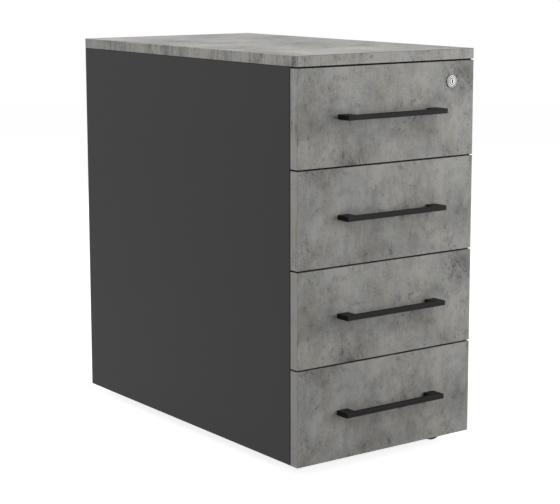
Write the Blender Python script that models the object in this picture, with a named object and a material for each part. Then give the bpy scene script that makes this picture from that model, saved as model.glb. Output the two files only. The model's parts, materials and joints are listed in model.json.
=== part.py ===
"""A rolling pedestal cabinet: four drawers with bow handles, a central lock and concealed castors.

Metres, +Z up, the drawers open towards -Y. The origin is on the floor, in the middle of the
footprint with the handles.
"""

import math

import bmesh
import bpy
from mathutils import Matrix, Vector

# Cabinet
WIDTH = 0.400
DEPTH = 0.720
BODY_HEIGHT = 0.718
FLOOR_CLEARANCE = 0.022
TOP_THICKNESS = 0.019
SIDE_THICKNESS = 0.016
BACK_THICKNESS = 0.008
BACK_INSET = 0.002
BOTTOM_THICKNESS = 0.016
SEAT_GAP = 0.0003

# Drawer fronts
DRAWERS = 4
FRONT_THICKNESS = 0.020
FRONT_SPACING = 0.0025
FRONT_REVEAL = 0.0015

# Bow handles
HANDLE_LENGTH = 0.226
HANDLE_PROJECTION = 0.030
HANDLE_HEIGHT = 0.009
HANDLE_BAR_DEPTH = 0.010
HANDLE_LEG = 0.024
HANDLE_FILLET = 0.008
HANDLE_CORNER = 0.0015

# Drawer trays of folded sheet
TRAY_LENGTH = 0.630
TRAY_SHEET = 0.001
TRAY_HEM = 0.008
TRAY_LIFT = 0.016
TRAY_LOCK_CLEARANCE = 0.016
LOW_TRAY_CLEARANCE = 0.007

# Ball runners
RUNNER_SPACE = 0.013
RUNNER_LENGTH = 0.600
RUNNER_HEIGHT = 0.035
RUNNER_SHEET = 0.0012
RUNNER_LIP = 0.009
RUNNER_SETBACK = 0.024
RUNNER_RISE = 0.045
DRAWER_TRAVEL = 0.450
BALL_DIAMETER = 0.005
BALL_PLAY = 0.0003
BALLS_PER_ROW = 3
CAGE_SHEET = 0.0008
CAGE_MARGIN = 0.002

# Lock
LOCK_FROM_RIGHT = 0.054
LOCK_FROM_TOP = 0.0365
ROSETTE_DIAMETER = 0.024
ROSETTE_THICKNESS = 0.0025
BARREL_DIAMETER = 0.018
PLUG_DIAMETER = 0.012
PLUG_STEP = 0.0008
LOCK_PLAY = 0.0003
KEYWAY_HEIGHT = 0.007
KEYWAY_WIDTH = 0.0018
KEYWAY_DEPTH = 0.009
CAM_DIAMETER = 0.016
CAM_THICKNESS = 0.0025
PEG_DIAMETER = 0.004
LOCK_LIFT = 0.009
LOCK_TURN = math.radians(90)
SLOT_PLAY = 0.0004

# Lock bar, its guides and the lugs on the trays
BAR_WIDTH = 0.002
BAR_DEPTH = 0.006
BAR_SETBACK = 0.0055
BAR_HEAD_HEIGHT = 0.022
BAR_HEAD_MARGIN = 0.006
BAR_FOOT = 0.010
TAB_HEIGHT = 0.012
TAB_DROP = 0.0015
TAB_GAP = 0.0015
LUG_REACH = 0.0055
LUG_LENGTH = 0.004
LUG_HEIGHT = 0.015
LUG_RISE = 0.020
LUG_GAP = 0.002
GUIDE_SHEET = 0.001
GUIDE_HEIGHT = 0.014
GUIDE_FLANGE = 0.010

# Castors
CASTOR_HEIGHT = 0.054
CASTOR_TRAIL = 0.020
CASTOR_CLEARANCE = 0.004
PLATE_SIZE = 0.042
PLATE_THICKNESS = 0.002
RIVET_DIAMETER = 0.010
RIVET_HEAD_DIAMETER = 0.015
RIVET_HEAD_HEIGHT = 0.003
FORK_THICKNESS = 0.0025
FORK_CROWN_RADIUS = 0.013
FORK_BOSS_RADIUS = 0.007
FORK_SWIVEL_GAP = 0.001
WHEEL_DIAMETER = 0.040
WHEEL_WIDTH = 0.018
WHEEL_HUB_WIDTH = 0.020
WHEEL_HUB_DIAMETER = 0.014
WHEEL_DISH = 0.003
WHEEL_RIM = 0.006
WHEEL_SHOULDER = 0.003
WHEEL_SIDE_GAP = 0.0005
AXLE_DIAMETER = 0.006
AXLE_PLAY = 0.0003
SWING_POINT = Vector((0.040, -0.379, 0.0))

# Facets of round shapes
ROUND_STEPS = 32
WHEEL_STEPS = 24
SMALL_STEPS = 16
FILLET_STEPS = 5

# Places worked out from the sizes above
HEIGHT = FLOOR_CLEARANCE + BODY_HEIGHT
FRONT_Y = HANDLE_PROJECTION / 2 - DEPTH / 2
BACK_Y = FRONT_Y + DEPTH
FRONT_BACK_Y = FRONT_Y + FRONT_THICKNESS
CARCASS_FRONT_Y = FRONT_BACK_Y + FRONT_REVEAL
BACK_PANEL_Y = BACK_Y - BACK_INSET - BACK_THICKNESS
TOP_UNDERSIDE = HEIGHT - TOP_THICKNESS
INNER_X = WIDTH / 2 - SIDE_THICKNESS
BOTTOM_Z = CASTOR_HEIGHT + SEAT_GAP
BOTTOM_TOP_Z = BOTTOM_Z + BOTTOM_THICKNESS
FRONT_HEIGHT = (BODY_HEIGHT - TOP_THICKNESS - DRAWERS * FRONT_SPACING) / DRAWERS
FRONT_PITCH = FRONT_HEIGHT + FRONT_SPACING
TRAY_HEADROOM = LOCK_FROM_TOP + CAM_DIAMETER / 2 + TRAY_LOCK_CLEARANCE
TRAY_HEIGHT = FRONT_HEIGHT - TRAY_LIFT - TRAY_HEADROOM
TRAY_X = INNER_X - RUNNER_SPACE
TRAY_Y = FRONT_BACK_Y + SEAT_GAP
RUNNER_Y = CARCASS_FRONT_Y + RUNNER_SETBACK
BAR_Y = TRAY_Y + BAR_SETBACK
BAR_X = INNER_X - SEAT_GAP - BAR_WIDTH
LUG_Y = BAR_Y + BAR_DEPTH + LUG_GAP
LOCK_X = WIDTH / 2 - LOCK_FROM_RIGHT
LOCK_Z = TOP_UNDERSIDE - FRONT_SPACING - LOCK_FROM_TOP
PEG_ORBIT = LOCK_LIFT / 2 / math.sin(LOCK_TURN / 2)
AXLE_Z = WHEEL_DIAMETER / 2 * math.cos(math.pi / WHEEL_STEPS)
FORK_OUTER = WHEEL_HUB_WIDTH / 2 + WHEEL_SIDE_GAP + FORK_THICKNESS
CASTOR_SWEEP = math.hypot(CASTOR_TRAIL + WHEEL_DIAMETER / 2, FORK_OUTER) + CASTOR_CLEARANCE

# Plane axes and sweep direction of the swept shapes
SWEPT_BACK = ((1, 0, 0), (0, 0, 1), (0, 1, 0))
SWEPT_UP = ((1, 0, 0), (0, 1, 0), (0, 0, 1))

# Colour, roughness and metallic value of each finish
FINISHES = {
    "concrete_decor": ((0.28, 0.275, 0.26), 0.6, 0.0),
    "anthracite_decor": ((0.055, 0.055, 0.055), 0.5, 0.0),
    "matt_black": ((0.02, 0.02, 0.019), 0.45, 0.0),
    "zinc_steel": ((0.55, 0.56, 0.57), 0.35, 1.0),
    "grey_enamel": ((0.12, 0.12, 0.125), 0.45, 0.0),
    "nickel": ((0.62, 0.61, 0.58), 0.22, 1.0),
    "black_nylon": ((0.03, 0.03, 0.03), 0.5, 0.0),
}


def clear_scene():
    for obj in list(bpy.data.objects):
        bpy.data.objects.remove(obj)


def finish(node, name):
    """A Principled material of the node's own."""
    colour, roughness, metallic = FINISHES[name]
    material = bpy.data.materials.new(f"{node}_{name}")
    material.use_nodes = True
    shader = material.node_tree.nodes["Principled BSDF"]
    shader.inputs["Base Color"].default_value = (*colour, 1.0)
    shader.inputs["Roughness"].default_value = roughness
    shader.inputs["Metallic"].default_value = metallic
    return material


def make_object(name, mesh, finish_name, parent=None, place=Matrix()):
    obj = bpy.data.objects.new(name, mesh)
    bpy.context.scene.collection.objects.link(obj)
    obj.parent = parent
    obj.matrix_basis = place
    if finish_name:
        mesh.materials.append(finish(name, finish_name))
    else:
        obj.hide_render = True
        obj.display_type = "WIRE"
    return obj


def make_empty(name, place):
    empty = bpy.data.objects.new(name, None)
    bpy.context.scene.collection.objects.link(empty)
    empty.matrix_basis = place
    return empty


def to_mesh(name, bm, smooth=False):
    bmesh.ops.recalc_face_normals(bm, faces=bm.faces)
    mesh = bpy.data.meshes.new(name)
    bm.to_mesh(mesh)
    bm.free()
    if smooth:
        mesh.shade_smooth()
        mesh.set_sharp_from_angle(angle=math.radians(35))
    return mesh


def box(name, low, high):
    bm = bmesh.new()
    size = Vector(high) - Vector(low)
    middle = (Vector(high) + Vector(low)) / 2
    bmesh.ops.create_cube(bm, size=1.0, matrix=Matrix.Translation(middle) @ Matrix.Diagonal((*size, 1.0)))
    return to_mesh(name, bm)


def prism(name, outline, depth, axes):
    """A plane outline swept along the third axis; axes gives the two in the plane, then the sweep's."""
    bm = bmesh.new()
    first, second, along = (Vector(axis) for axis in axes)
    start, end = depth
    corners = [bm.verts.new(first * u + second * v + along * start) for u, v in outline]
    face = bm.faces.new(corners)
    swept = bmesh.ops.extrude_face_region(bm, geom=[face])
    moved = [item for item in swept["geom"] if isinstance(item, bmesh.types.BMVert)]
    bmesh.ops.translate(bm, verts=moved, vec=along * (end - start))
    return to_mesh(name, bm)


def cylinder(name, radius, start, end, axis="Y", centre=(0.0, 0.0), steps=ROUND_STEPS):
    """A round bar from start to end along Y or Z; centre is in the two other axes."""
    bm = bmesh.new()
    middle = (start + end) / 2
    if axis == "Y":
        place = Matrix.Translation((centre[0], middle, centre[1])) @ Matrix.Rotation(math.pi / 2, 4, "X")
    else:
        place = Matrix.Translation((centre[0], centre[1], middle))
    bmesh.ops.create_cone(
        bm, cap_ends=True, segments=steps, radius1=radius, radius2=radius, depth=end - start, matrix=place
    )
    return to_mesh(name, bm, smooth=True)


def turned(name, profile, steps):
    """A closed profile of (radius, Y) points turned about Y, with a flat facet facing down."""
    bm = bmesh.new()
    half = math.pi / steps
    ring = [bm.verts.new((r * math.sin(half), y, -r * math.cos(half))) for r, y in profile]
    edges = [bm.edges.new((ring[i - 1], ring[i])) for i in range(len(ring))]
    bmesh.ops.spin(
        bm,
        geom=ring + edges,
        cent=(0, 0, 0),
        axis=(0, 1, 0),
        angle=2 * math.pi,
        steps=steps,
        use_merge=True,
    )
    bmesh.ops.remove_doubles(bm, verts=bm.verts, dist=1e-6)
    return to_mesh(name, bm, smooth=True)


def combine(target, operation, name, mesh):
    """A Boolean with a hidden helper that shares the target's parent and place."""
    helper = make_object(name, mesh, None, target.parent, target.matrix_basis)
    modifier = target.modifiers.new(name, "BOOLEAN")
    modifier.operation = operation
    modifier.solver = "EXACT"
    modifier.object = helper


def arc(centre, radius, start, end, steps):
    """Points on an arc; angles in degrees."""
    angles = [math.radians(start + (end - start) * i / steps) for i in range(steps + 1)]
    return [(centre[0] + radius * math.cos(a), centre[1] + radius * math.sin(a)) for a in angles]


def mirrored(outline):
    return [(-u, v) for u, v in reversed(outline)]


def build_carcass():
    wall_x = INNER_X - SEAT_GAP
    side_top = TOP_UNDERSIDE - SEAT_GAP
    make_object(
        "top_panel",
        box("top_panel", (-WIDTH / 2, FRONT_Y, TOP_UNDERSIDE), (WIDTH / 2, BACK_Y, HEIGHT)),
        "concrete_decor",
    )
    for side, sign in (("left", -1), ("right", 1)):
        inner, outer = sorted((sign * INNER_X, sign * WIDTH / 2))
        low = (inner, CARCASS_FRONT_Y, FLOOR_CLEARANCE)
        high = (outer, BACK_Y, side_top)
        make_object(f"side_panel_{side}", box("side_panel", low, high), "anthracite_decor")
    make_object(
        "back_panel",
        box(
            "back_panel",
            (-wall_x, BACK_PANEL_Y, FLOOR_CLEARANCE),
            (wall_x, BACK_PANEL_Y + BACK_THICKNESS, side_top),
        ),
        "anthracite_decor",
    )
    make_object(
        "bottom_panel",
        box(
            "bottom_panel",
            (-wall_x, CARCASS_FRONT_Y, BOTTOM_Z),
            (wall_x, BACK_PANEL_Y - SEAT_GAP, BOTTOM_TOP_Z),
        ),
        "anthracite_decor",
    )


def front_bottom(number):
    return FLOOR_CLEARANCE + (DRAWERS - number) * FRONT_PITCH


def tray_bottom(number):
    return max(front_bottom(number) + TRAY_LIFT, BOTTOM_TOP_Z + LOW_TRAY_CLEARANCE)


def handle_outline():
    """Half of the bow seen from above, from its middle at the back of the bar round to the front."""
    end = HANDLE_LENGTH / 2
    leg = end - HANDLE_LEG
    foot = -SEAT_GAP
    tip = -HANDLE_PROJECTION
    bar = tip + HANDLE_BAR_DEPTH
    half = arc((leg - HANDLE_FILLET, bar + HANDLE_FILLET), HANDLE_FILLET, -90, 0, FILLET_STEPS)
    half += [(leg, foot), (end, foot)]
    half += arc((end - HANDLE_CORNER, tip + HANDLE_CORNER), HANDLE_CORNER, 0, -90, FILLET_STEPS)
    return half


def tray_mesh(number):
    """An open box of folded sheet with hemmed rims."""
    bottom = tray_bottom(number)
    top = bottom + TRAY_HEIGHT
    rings = (
        (0.0, bottom),
        (0.0, top),
        (2 * TRAY_SHEET, top),
        (2 * TRAY_SHEET, top - TRAY_HEM),
        (TRAY_SHEET, top - TRAY_HEM),
        (TRAY_SHEET, bottom + TRAY_SHEET),
    )
    bm = bmesh.new()
    loops = []
    for inset, z in rings:
        x = TRAY_X - inset
        near = TRAY_Y + inset
        far = TRAY_Y + TRAY_LENGTH - inset
        loops.append([bm.verts.new(p) for p in ((-x, near, z), (x, near, z), (x, far, z), (-x, far, z))])
    for lower, upper in zip(loops, loops[1:]):
        for i in range(4):
            bm.faces.new((lower[i - 1], lower[i], upper[i], upper[i - 1]))
    bm.faces.new(loops[0])
    bm.faces.new(loops[-1])
    return to_mesh("tray", bm)


def runner_outline(web, tip, half, wall):
    """A C section with its web at one X and its flange tips at another, as high as twice half."""
    step = math.copysign(wall, tip - web)
    return [
        (web, -half),
        (tip, -half),
        (tip, wall - half),
        (web + step, wall - half),
        (web + step, half - wall),
        (tip, half - wall),
        (tip, half),
        (web, half),
    ]


def runner_sections():
    """Cabinet member, drawer member and cage, as outlines of (distance from the wall, height)."""
    half = RUNNER_HEIGHT / 2
    ball_space = BALL_DIAMETER + 2 * BALL_PLAY
    inner_half = half - RUNNER_SHEET - ball_space
    cage_half = half - RUNNER_SHEET - ball_space / 2 + CAGE_SHEET / 2
    cage_web = SEAT_GAP + RUNNER_SHEET + BALL_PLAY
    inner_tip = cage_web + CAGE_SHEET + BALL_PLAY
    web = RUNNER_SPACE - SEAT_GAP
    return (
        runner_outline(SEAT_GAP, SEAT_GAP + RUNNER_LIP, half, RUNNER_SHEET),
        runner_outline(web, inner_tip, inner_half, RUNNER_SHEET),
        runner_outline(cage_web, SEAT_GAP + RUNNER_LIP, cage_half, CAGE_SHEET),
    )


def runner_mesh(outline, sign, span):
    """One member on the left (-1) or right (1) wall."""
    section = [(sign * (INNER_X - u), v) for u, v in outline]
    return prism("runner", section, span, SWEPT_BACK)


def balls_mesh(sign, start, length):
    """Both rows of balls in a cage."""
    bm = bmesh.new()
    across = (SEAT_GAP + RUNNER_SPACE) / 2
    height = RUNNER_HEIGHT / 2 - RUNNER_SHEET - BALL_PLAY - BALL_DIAMETER / 2
    spread = length - 2 * BALL_DIAMETER
    for i in range(BALLS_PER_ROW):
        y = start + BALL_DIAMETER + spread * i / (BALLS_PER_ROW - 1)
        for z in (-height, height):
            place = Matrix.Translation((sign * (INNER_X - across), y, z))
            bmesh.ops.create_icosphere(bm, subdivisions=1, radius=BALL_DIAMETER / 2, matrix=place)
    return to_mesh("balls", bm)


def build_runners(number, drawer):
    """Two-member ball runners; each cage rolls at half the drawer's speed."""
    height = Matrix.Translation((0, 0, tray_bottom(number) + RUNNER_RISE))
    on_drawer = drawer.matrix_basis.inverted() @ height
    cabinet, moving, cage = runner_sections()
    cage_length = RUNNER_LENGTH - DRAWER_TRAVEL - 2 * CAGE_MARGIN
    cage_start = RUNNER_Y + (RUNNER_LENGTH - cage_length) / 2
    runner_span = (RUNNER_Y, RUNNER_Y + RUNNER_LENGTH)
    cage_span = (cage_start, cage_start + cage_length)
    for side, sign in (("left", -1), ("right", 1)):
        label = f"{number}_{side}"
        fixed_mesh = runner_mesh(cabinet, sign, runner_span)
        moving_mesh = runner_mesh(moving, sign, runner_span)
        cage_mesh = runner_mesh(cage, sign, cage_span)
        make_object(f"cabinet_runner_{label}", fixed_mesh, "zinc_steel", None, height)
        make_object(f"drawer_runner_{label}", moving_mesh, "zinc_steel", drawer, on_drawer)
        strip = make_object(f"ball_cage_{label}", cage_mesh, "zinc_steel", None, height)
        combine(strip, "UNION", f"balls_{label}", balls_mesh(sign, cage_start, cage_length))


def build_drawer(number):
    """Front, handle and tray under an empty at the drawer's front, in the middle of its width."""
    bottom = front_bottom(number)
    place = Matrix.Translation((0, FRONT_Y, bottom))
    drawer = make_empty(f"drawer_{number}", place)
    back = place.inverted()
    low = (-WIDTH / 2, FRONT_Y, bottom)
    high = (WIDTH / 2, FRONT_BACK_Y, bottom + FRONT_HEIGHT)
    make_object(f"drawer_front_{number}", box("front", low, high), "concrete_decor", drawer, back)
    half = handle_outline()
    middle = FRONT_HEIGHT / 2
    bow = prism(
        "handle",
        mirrored(half) + half,
        (middle - HANDLE_HEIGHT / 2, middle + HANDLE_HEIGHT / 2),
        SWEPT_UP,
    )
    make_object(f"handle_{number}", bow, "matt_black", drawer)
    tray = make_object(f"drawer_tray_{number}", tray_mesh(number), "grey_enamel", drawer, back)
    lug_z = tray_bottom(number) + LUG_RISE
    root = TRAY_X - TRAY_SHEET / 2
    lug = box("lug", (root, LUG_Y, lug_z), (TRAY_X + LUG_REACH, LUG_Y + LUG_LENGTH, lug_z + LUG_HEIGHT))
    combine(tray, "UNION", f"lug_{number}", lug)
    return drawer


def build_lock(drawer):
    """Rosette with barrel, plug and cam, on the lock's axis in the top drawer's front."""
    place = drawer.matrix_basis.inverted() @ Matrix.Translation((LOCK_X, FRONT_Y, LOCK_Z))
    centre = (LOCK_X, LOCK_Z)
    front = bpy.data.objects["drawer_front_1"]
    bore = BARREL_DIAMETER / 2 + LOCK_PLAY
    cut = cylinder("lock_bore", bore, FRONT_Y - bore, FRONT_BACK_Y + bore, centre=centre)
    combine(front, "DIFFERENCE", "lock_bore", cut)

    face = -ROSETTE_THICKNESS - SEAT_GAP
    rear = FRONT_THICKNESS + SEAT_GAP
    plug_bore = PLUG_DIAMETER / 2 + LOCK_PLAY
    chamfer = ROSETTE_THICKNESS / 3
    housing = [
        (plug_bore, face),
        (ROSETTE_DIAMETER / 2 - chamfer, face),
        (ROSETTE_DIAMETER / 2, face + chamfer),
        (ROSETTE_DIAMETER / 2, -SEAT_GAP),
        (BARREL_DIAMETER / 2, -SEAT_GAP),
        (BARREL_DIAMETER / 2, rear),
        (plug_bore, rear),
    ]
    make_object("lock_housing", turned("lock_housing", housing, ROUND_STEPS), "nickel", drawer, place)

    plug_face = face - PLUG_STEP
    plug = cylinder("lock_plug", PLUG_DIAMETER / 2, plug_face, rear)
    plug = make_object("lock_plug", plug, "nickel", drawer, place)
    keyway = box(
        "keyway",
        (-KEYWAY_WIDTH / 2, plug_face - KEYWAY_DEPTH, -KEYWAY_HEIGHT / 2),
        (KEYWAY_WIDTH / 2, plug_face + KEYWAY_DEPTH, KEYWAY_HEIGHT / 2),
    )
    combine(plug, "DIFFERENCE", "keyway", keyway)

    cam_face = rear + SEAT_GAP
    cam_rear = cam_face + CAM_THICKNESS
    cam = make_object(
        "lock_cam", cylinder("lock_cam", CAM_DIAMETER / 2, cam_face, cam_rear), "zinc_steel", drawer, place
    )
    peg_x = -PEG_ORBIT * math.cos(LOCK_TURN / 2)
    peg_z = -LOCK_LIFT / 2
    peg_end = BAR_Y + BAR_DEPTH - FRONT_Y + PEG_DIAMETER / 4
    peg_root = cam_rear - CAM_THICKNESS / 2
    peg = cylinder(
        "cam_peg", PEG_DIAMETER / 2, peg_root, peg_end, centre=(peg_x, peg_z), steps=SMALL_STEPS
    )
    combine(cam, "UNION", "cam_peg", peg)


def build_lock_bar():
    """A bar with a slotted head for the cam's peg and a tab below each tray's lug, in two guides."""
    head_low = LOCK_Z - LOCK_LIFT / 2 - BAR_HEAD_HEIGHT / 2
    head_high = head_low + BAR_HEAD_HEIGHT
    peg_near = LOCK_X - PEG_ORBIT * math.cos(LOCK_TURN / 2)
    peg_far = LOCK_X - PEG_ORBIT
    slot_side = PEG_DIAMETER / 2 + SLOT_PLAY
    head_x = peg_far - slot_side - BAR_HEAD_MARGIN
    right = BAR_X + BAR_WIDTH
    tab_x = TRAY_X + TAB_GAP
    outline = [(right, head_high), (head_x, head_high), (head_x, head_low), (BAR_X, head_low)]
    for number in range(1, DRAWERS + 1):
        tab_top = tray_bottom(number) + LUG_RISE - TAB_DROP
        tab_low = tab_top - TAB_HEIGHT
        outline += [(BAR_X, tab_top), (tab_x, tab_top), (tab_x, tab_low), (BAR_X, tab_low)]
    foot = tray_bottom(DRAWERS) + LUG_RISE - TAB_DROP - TAB_HEIGHT - BAR_FOOT
    outline += [(BAR_X, foot), (right, foot)]
    bar_mesh = prism("lock_bar", outline, (BAR_Y, BAR_Y + BAR_DEPTH), SWEPT_BACK)
    bar = make_object("lock_bar", bar_mesh, "zinc_steel")
    middle = LOCK_Z - LOCK_LIFT / 2
    slot = box(
        "peg_slot",
        (peg_far - slot_side, BAR_Y - BAR_DEPTH, middle - slot_side),
        (peg_near + slot_side, BAR_Y + 2 * BAR_DEPTH, middle + slot_side),
    )
    combine(bar, "DIFFERENCE", "peg_slot", slot)

    cap = BAR_X - SEAT_GAP
    wall = INNER_X - SEAT_GAP
    near = BAR_Y - SEAT_GAP
    far = BAR_Y + BAR_DEPTH + SEAT_GAP
    guide = [
        (wall, near - GUIDE_SHEET),
        (wall, near),
        (cap, near),
        (cap, far),
        (wall, far),
        (wall, far + GUIDE_FLANGE),
        (wall - GUIDE_SHEET, far + GUIDE_FLANGE),
        (wall - GUIDE_SHEET, far + GUIDE_SHEET),
        (cap - GUIDE_SHEET, far + GUIDE_SHEET),
        (cap - GUIDE_SHEET, near - GUIDE_SHEET),
    ]
    for where, number in (("upper", 1), ("lower", DRAWERS - 1)):
        z = front_bottom(number) - FRONT_SPACING / 2
        span = (z - GUIDE_HEIGHT / 2, z + GUIDE_HEIGHT / 2)
        mesh = prism("bar_guide", guide, span, SWEPT_UP)
        make_object(f"lock_bar_guide_{where}", mesh, "zinc_steel")


def wheel_profile():
    """Half of the wheel's section mirrored about its middle, as (radius, Y)."""
    bore = AXLE_DIAMETER / 2 + AXLE_PLAY
    radius = WHEEL_DIAMETER / 2
    edge = WHEEL_WIDTH / 2
    hub = WHEEL_HUB_WIDTH / 2
    half = [
        (radius, edge - WHEEL_SHOULDER),
        (radius - WHEEL_SHOULDER / 3, edge - WHEEL_SHOULDER / 3),
        (radius - WHEEL_SHOULDER, edge),
        (radius - WHEEL_RIM, edge),
        (radius - WHEEL_RIM, edge - WHEEL_DISH),
        (WHEEL_HUB_DIAMETER / 2, edge - WHEEL_DISH),
        (WHEEL_HUB_DIAMETER / 2, hub),
        (bore, hub),
    ]
    return half + [(r, -y) for r, y in reversed(half)]


def fork_outline(crown_low, crown_high):
    """The fork from the side, with the trail along +X: crown over the rivet, cheeks down to the axle."""
    boss = arc((CASTOR_TRAIL, AXLE_Z), FORK_BOSS_RADIUS, 20, -150, 2 * FILLET_STEPS)
    crown = [(-FORK_CROWN_RADIUS, crown_high), (FORK_CROWN_RADIUS, crown_high)]
    return crown + boss + [(-FORK_CROWN_RADIUS, crown_low)]


def build_castor(name, x, y):
    """Plate with pivot rivet, fork with riveted axle, and wheel; the fork trails as after a swing."""
    radial = Vector((x, y, 0)) - SWING_POINT
    trail = Vector((radial.y, -radial.x, 0))
    turn = math.atan2(trail.y, trail.x)
    pivot = make_empty(f"castor_{name}", Matrix.Translation((x, y, 0)) @ Matrix.Rotation(turn, 4, "Z"))

    plate_low = CASTOR_HEIGHT - PLATE_THICKNESS
    crown_high = plate_low - FORK_SWIVEL_GAP
    crown_low = crown_high - FORK_THICKNESS
    head_high = crown_low - SEAT_GAP
    half = PLATE_SIZE / 2
    plate = make_object(
        f"castor_plate_{name}",
        box("castor_plate", (-half, -half, plate_low), (half, half, CASTOR_HEIGHT)),
        "zinc_steel",
        None,
        Matrix.Translation((x, y, 0)),
    )
    rivet_low = head_high - RIVET_HEAD_HEIGHT / 2
    rivet_high = plate_low + PLATE_THICKNESS / 2
    rivet = cylinder("rivet", RIVET_DIAMETER / 2, rivet_low, rivet_high, "Z", steps=SMALL_STEPS)
    combine(plate, "UNION", f"rivet_{name}", rivet)
    head_low = head_high - RIVET_HEAD_HEIGHT
    head = cylinder("rivet_head", RIVET_HEAD_DIAMETER / 2, head_low, head_high, "Z", steps=SMALL_STEPS)
    combine(plate, "UNION", f"rivet_head_{name}", head)

    fork_side = fork_outline(crown_low, crown_high)
    fork_mesh = prism("castor_fork", fork_side, (-FORK_OUTER, FORK_OUTER), SWEPT_BACK)
    fork = make_object(f"castor_fork_{name}", fork_mesh, "zinc_steel", pivot)
    gap = FORK_OUTER - FORK_THICKNESS
    reach = CASTOR_TRAIL + WHEEL_DIAMETER
    slot = box("wheel_slot", (-reach, -gap, -WHEEL_DIAMETER), (reach, gap, crown_low))
    combine(fork, "DIFFERENCE", f"wheel_slot_{name}", slot)
    hole_radius = RIVET_DIAMETER / 2 + AXLE_PLAY
    hole_low = crown_low - FORK_THICKNESS
    hole = cylinder("pivot_hole", hole_radius, hole_low, CASTOR_HEIGHT, "Z", steps=SMALL_STEPS)
    combine(fork, "DIFFERENCE", f"pivot_hole_{name}", hole)
    axle_end = FORK_OUTER - FORK_THICKNESS / 2
    axle = cylinder(
        "axle", AXLE_DIAMETER / 2, -axle_end, axle_end, centre=(CASTOR_TRAIL, AXLE_Z), steps=SMALL_STEPS
    )
    combine(fork, "UNION", f"axle_{name}", axle)

    make_object(
        f"castor_wheel_{name}",
        turned("castor_wheel", wheel_profile(), WHEEL_STEPS),
        "black_nylon",
        pivot,
        Matrix.Translation((CASTOR_TRAIL, 0, AXLE_Z)),
    )


def main():
    clear_scene()
    build_carcass()
    for number in range(1, DRAWERS + 1):
        drawer = build_drawer(number)
        build_runners(number, drawer)
        if number == 1:
            build_lock(drawer)
    build_lock_bar()
    castor_x = INNER_X - CASTOR_SWEEP
    for end, y in (("front", FRONT_BACK_Y + CASTOR_SWEEP), ("rear", BACK_PANEL_Y - CASTOR_SWEEP)):
        build_castor(f"{end}_left", -castor_x, y)
        build_castor(f"{end}_right", castor_x, y)


main()
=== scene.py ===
import json
import math

import bmesh
import bpy
from bpy.props import FloatProperty, FloatVectorProperty, IntProperty, PointerProperty
from mathutils import Matrix, Vector


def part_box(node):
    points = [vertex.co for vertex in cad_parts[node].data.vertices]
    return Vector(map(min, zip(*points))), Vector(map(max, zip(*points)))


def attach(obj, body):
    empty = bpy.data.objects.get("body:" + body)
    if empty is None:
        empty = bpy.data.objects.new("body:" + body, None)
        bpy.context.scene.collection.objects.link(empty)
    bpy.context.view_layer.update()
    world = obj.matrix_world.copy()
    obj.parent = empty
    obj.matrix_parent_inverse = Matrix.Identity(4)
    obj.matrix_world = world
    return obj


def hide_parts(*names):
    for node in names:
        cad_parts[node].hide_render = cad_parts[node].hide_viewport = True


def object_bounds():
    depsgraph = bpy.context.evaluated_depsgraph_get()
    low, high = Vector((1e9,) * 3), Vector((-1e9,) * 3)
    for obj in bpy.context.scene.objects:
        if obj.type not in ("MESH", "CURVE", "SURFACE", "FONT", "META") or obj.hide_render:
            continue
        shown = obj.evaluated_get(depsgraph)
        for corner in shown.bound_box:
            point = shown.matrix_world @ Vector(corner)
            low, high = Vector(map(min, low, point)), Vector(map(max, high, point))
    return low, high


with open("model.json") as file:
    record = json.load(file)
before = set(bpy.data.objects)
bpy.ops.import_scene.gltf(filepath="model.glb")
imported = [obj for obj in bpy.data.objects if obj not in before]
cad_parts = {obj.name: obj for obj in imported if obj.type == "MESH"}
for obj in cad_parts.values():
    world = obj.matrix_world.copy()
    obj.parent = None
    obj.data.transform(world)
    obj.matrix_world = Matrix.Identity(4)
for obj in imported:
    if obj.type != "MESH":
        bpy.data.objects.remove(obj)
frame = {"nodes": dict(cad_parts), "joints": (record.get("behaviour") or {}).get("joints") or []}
CAD_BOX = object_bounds()

bl_info = {
    "name": "Rolling pedestal cabinet",
    "version": (1, 0, 0),
    "blender": (4, 5, 0),
    "location": "View3D > Sidebar > Pedestal",
    "description": "Dresses the packed pedestal: boards, drawers, handles, lock and castors",
    "category": "Object",
}

DRAWERS = (1, 2, 3, 4)
SIDES = (("left", -1), ("right", 1))
CASTORS = ("front_left", "front_right", "rear_left", "rear_right")
JOINTS = {joint["name"]: joint for joint in frame["joints"]}
FRONT_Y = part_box("top_panel")[0].y
# marks the rounded faces, for rubbed wear and for painted edge light
EDGE_WEAR_AND_LIGHT = "wear"
TOUCH = 1e-6  # metres within which two places count as one
CORNER = 1.0  # radians between two faces that meet in a corner
SHARP = math.radians(40.0)  # least angle of a CAD edge that gets a round
CREASE = math.radians(35.0)  # least angle that is shaded as an edge
INWARD = Vector((0.0, 1.0, 0.0))  # from the front towards the back
DOWN = Vector((0.0, 0.0, -1.0))
WHITE = (1.0, 1.0, 1.0, 1.0)
SOFTBOXES = {"overhead": 2.2, "side": 1.4, "front": 1.5, "rear": 1.6, "right": 1.6}  # metres
SLOTS = {
    "anthracite_melamine": "anthracite_decor",
    "black_nylon": "black_nylon",
    "bumper_rubber": "black_nylon",
    "matt_powder": "matt_black",
    "nickel_plating": "nickel",
    "seal_rubber": "black_nylon",
    "stoved_enamel": "grey_enamel",
    "zinc_plating": "zinc_steel",
}


def length(name, description, default):
    return FloatProperty(
        name=name,
        description=description,
        default=default,
        min=0.0,
        precision=5,
        subtype="DISTANCE",
        unit="LENGTH",
    )


def colour(name, description, default):
    return FloatVectorProperty(
        name=name,
        description=description,
        default=default,
        size=3,
        min=0.0,
        max=1.0,
        subtype="COLOR",
    )


def power(name, description, default):
    return FloatProperty(name=name, description=description, default=default, min=0.0, unit="POWER")


def place(name, description, default):
    return FloatVectorProperty(
        name=name,
        description=description,
        default=default,
        size=3,
        subtype="TRANSLATION",
        unit="LENGTH",
    )


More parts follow.
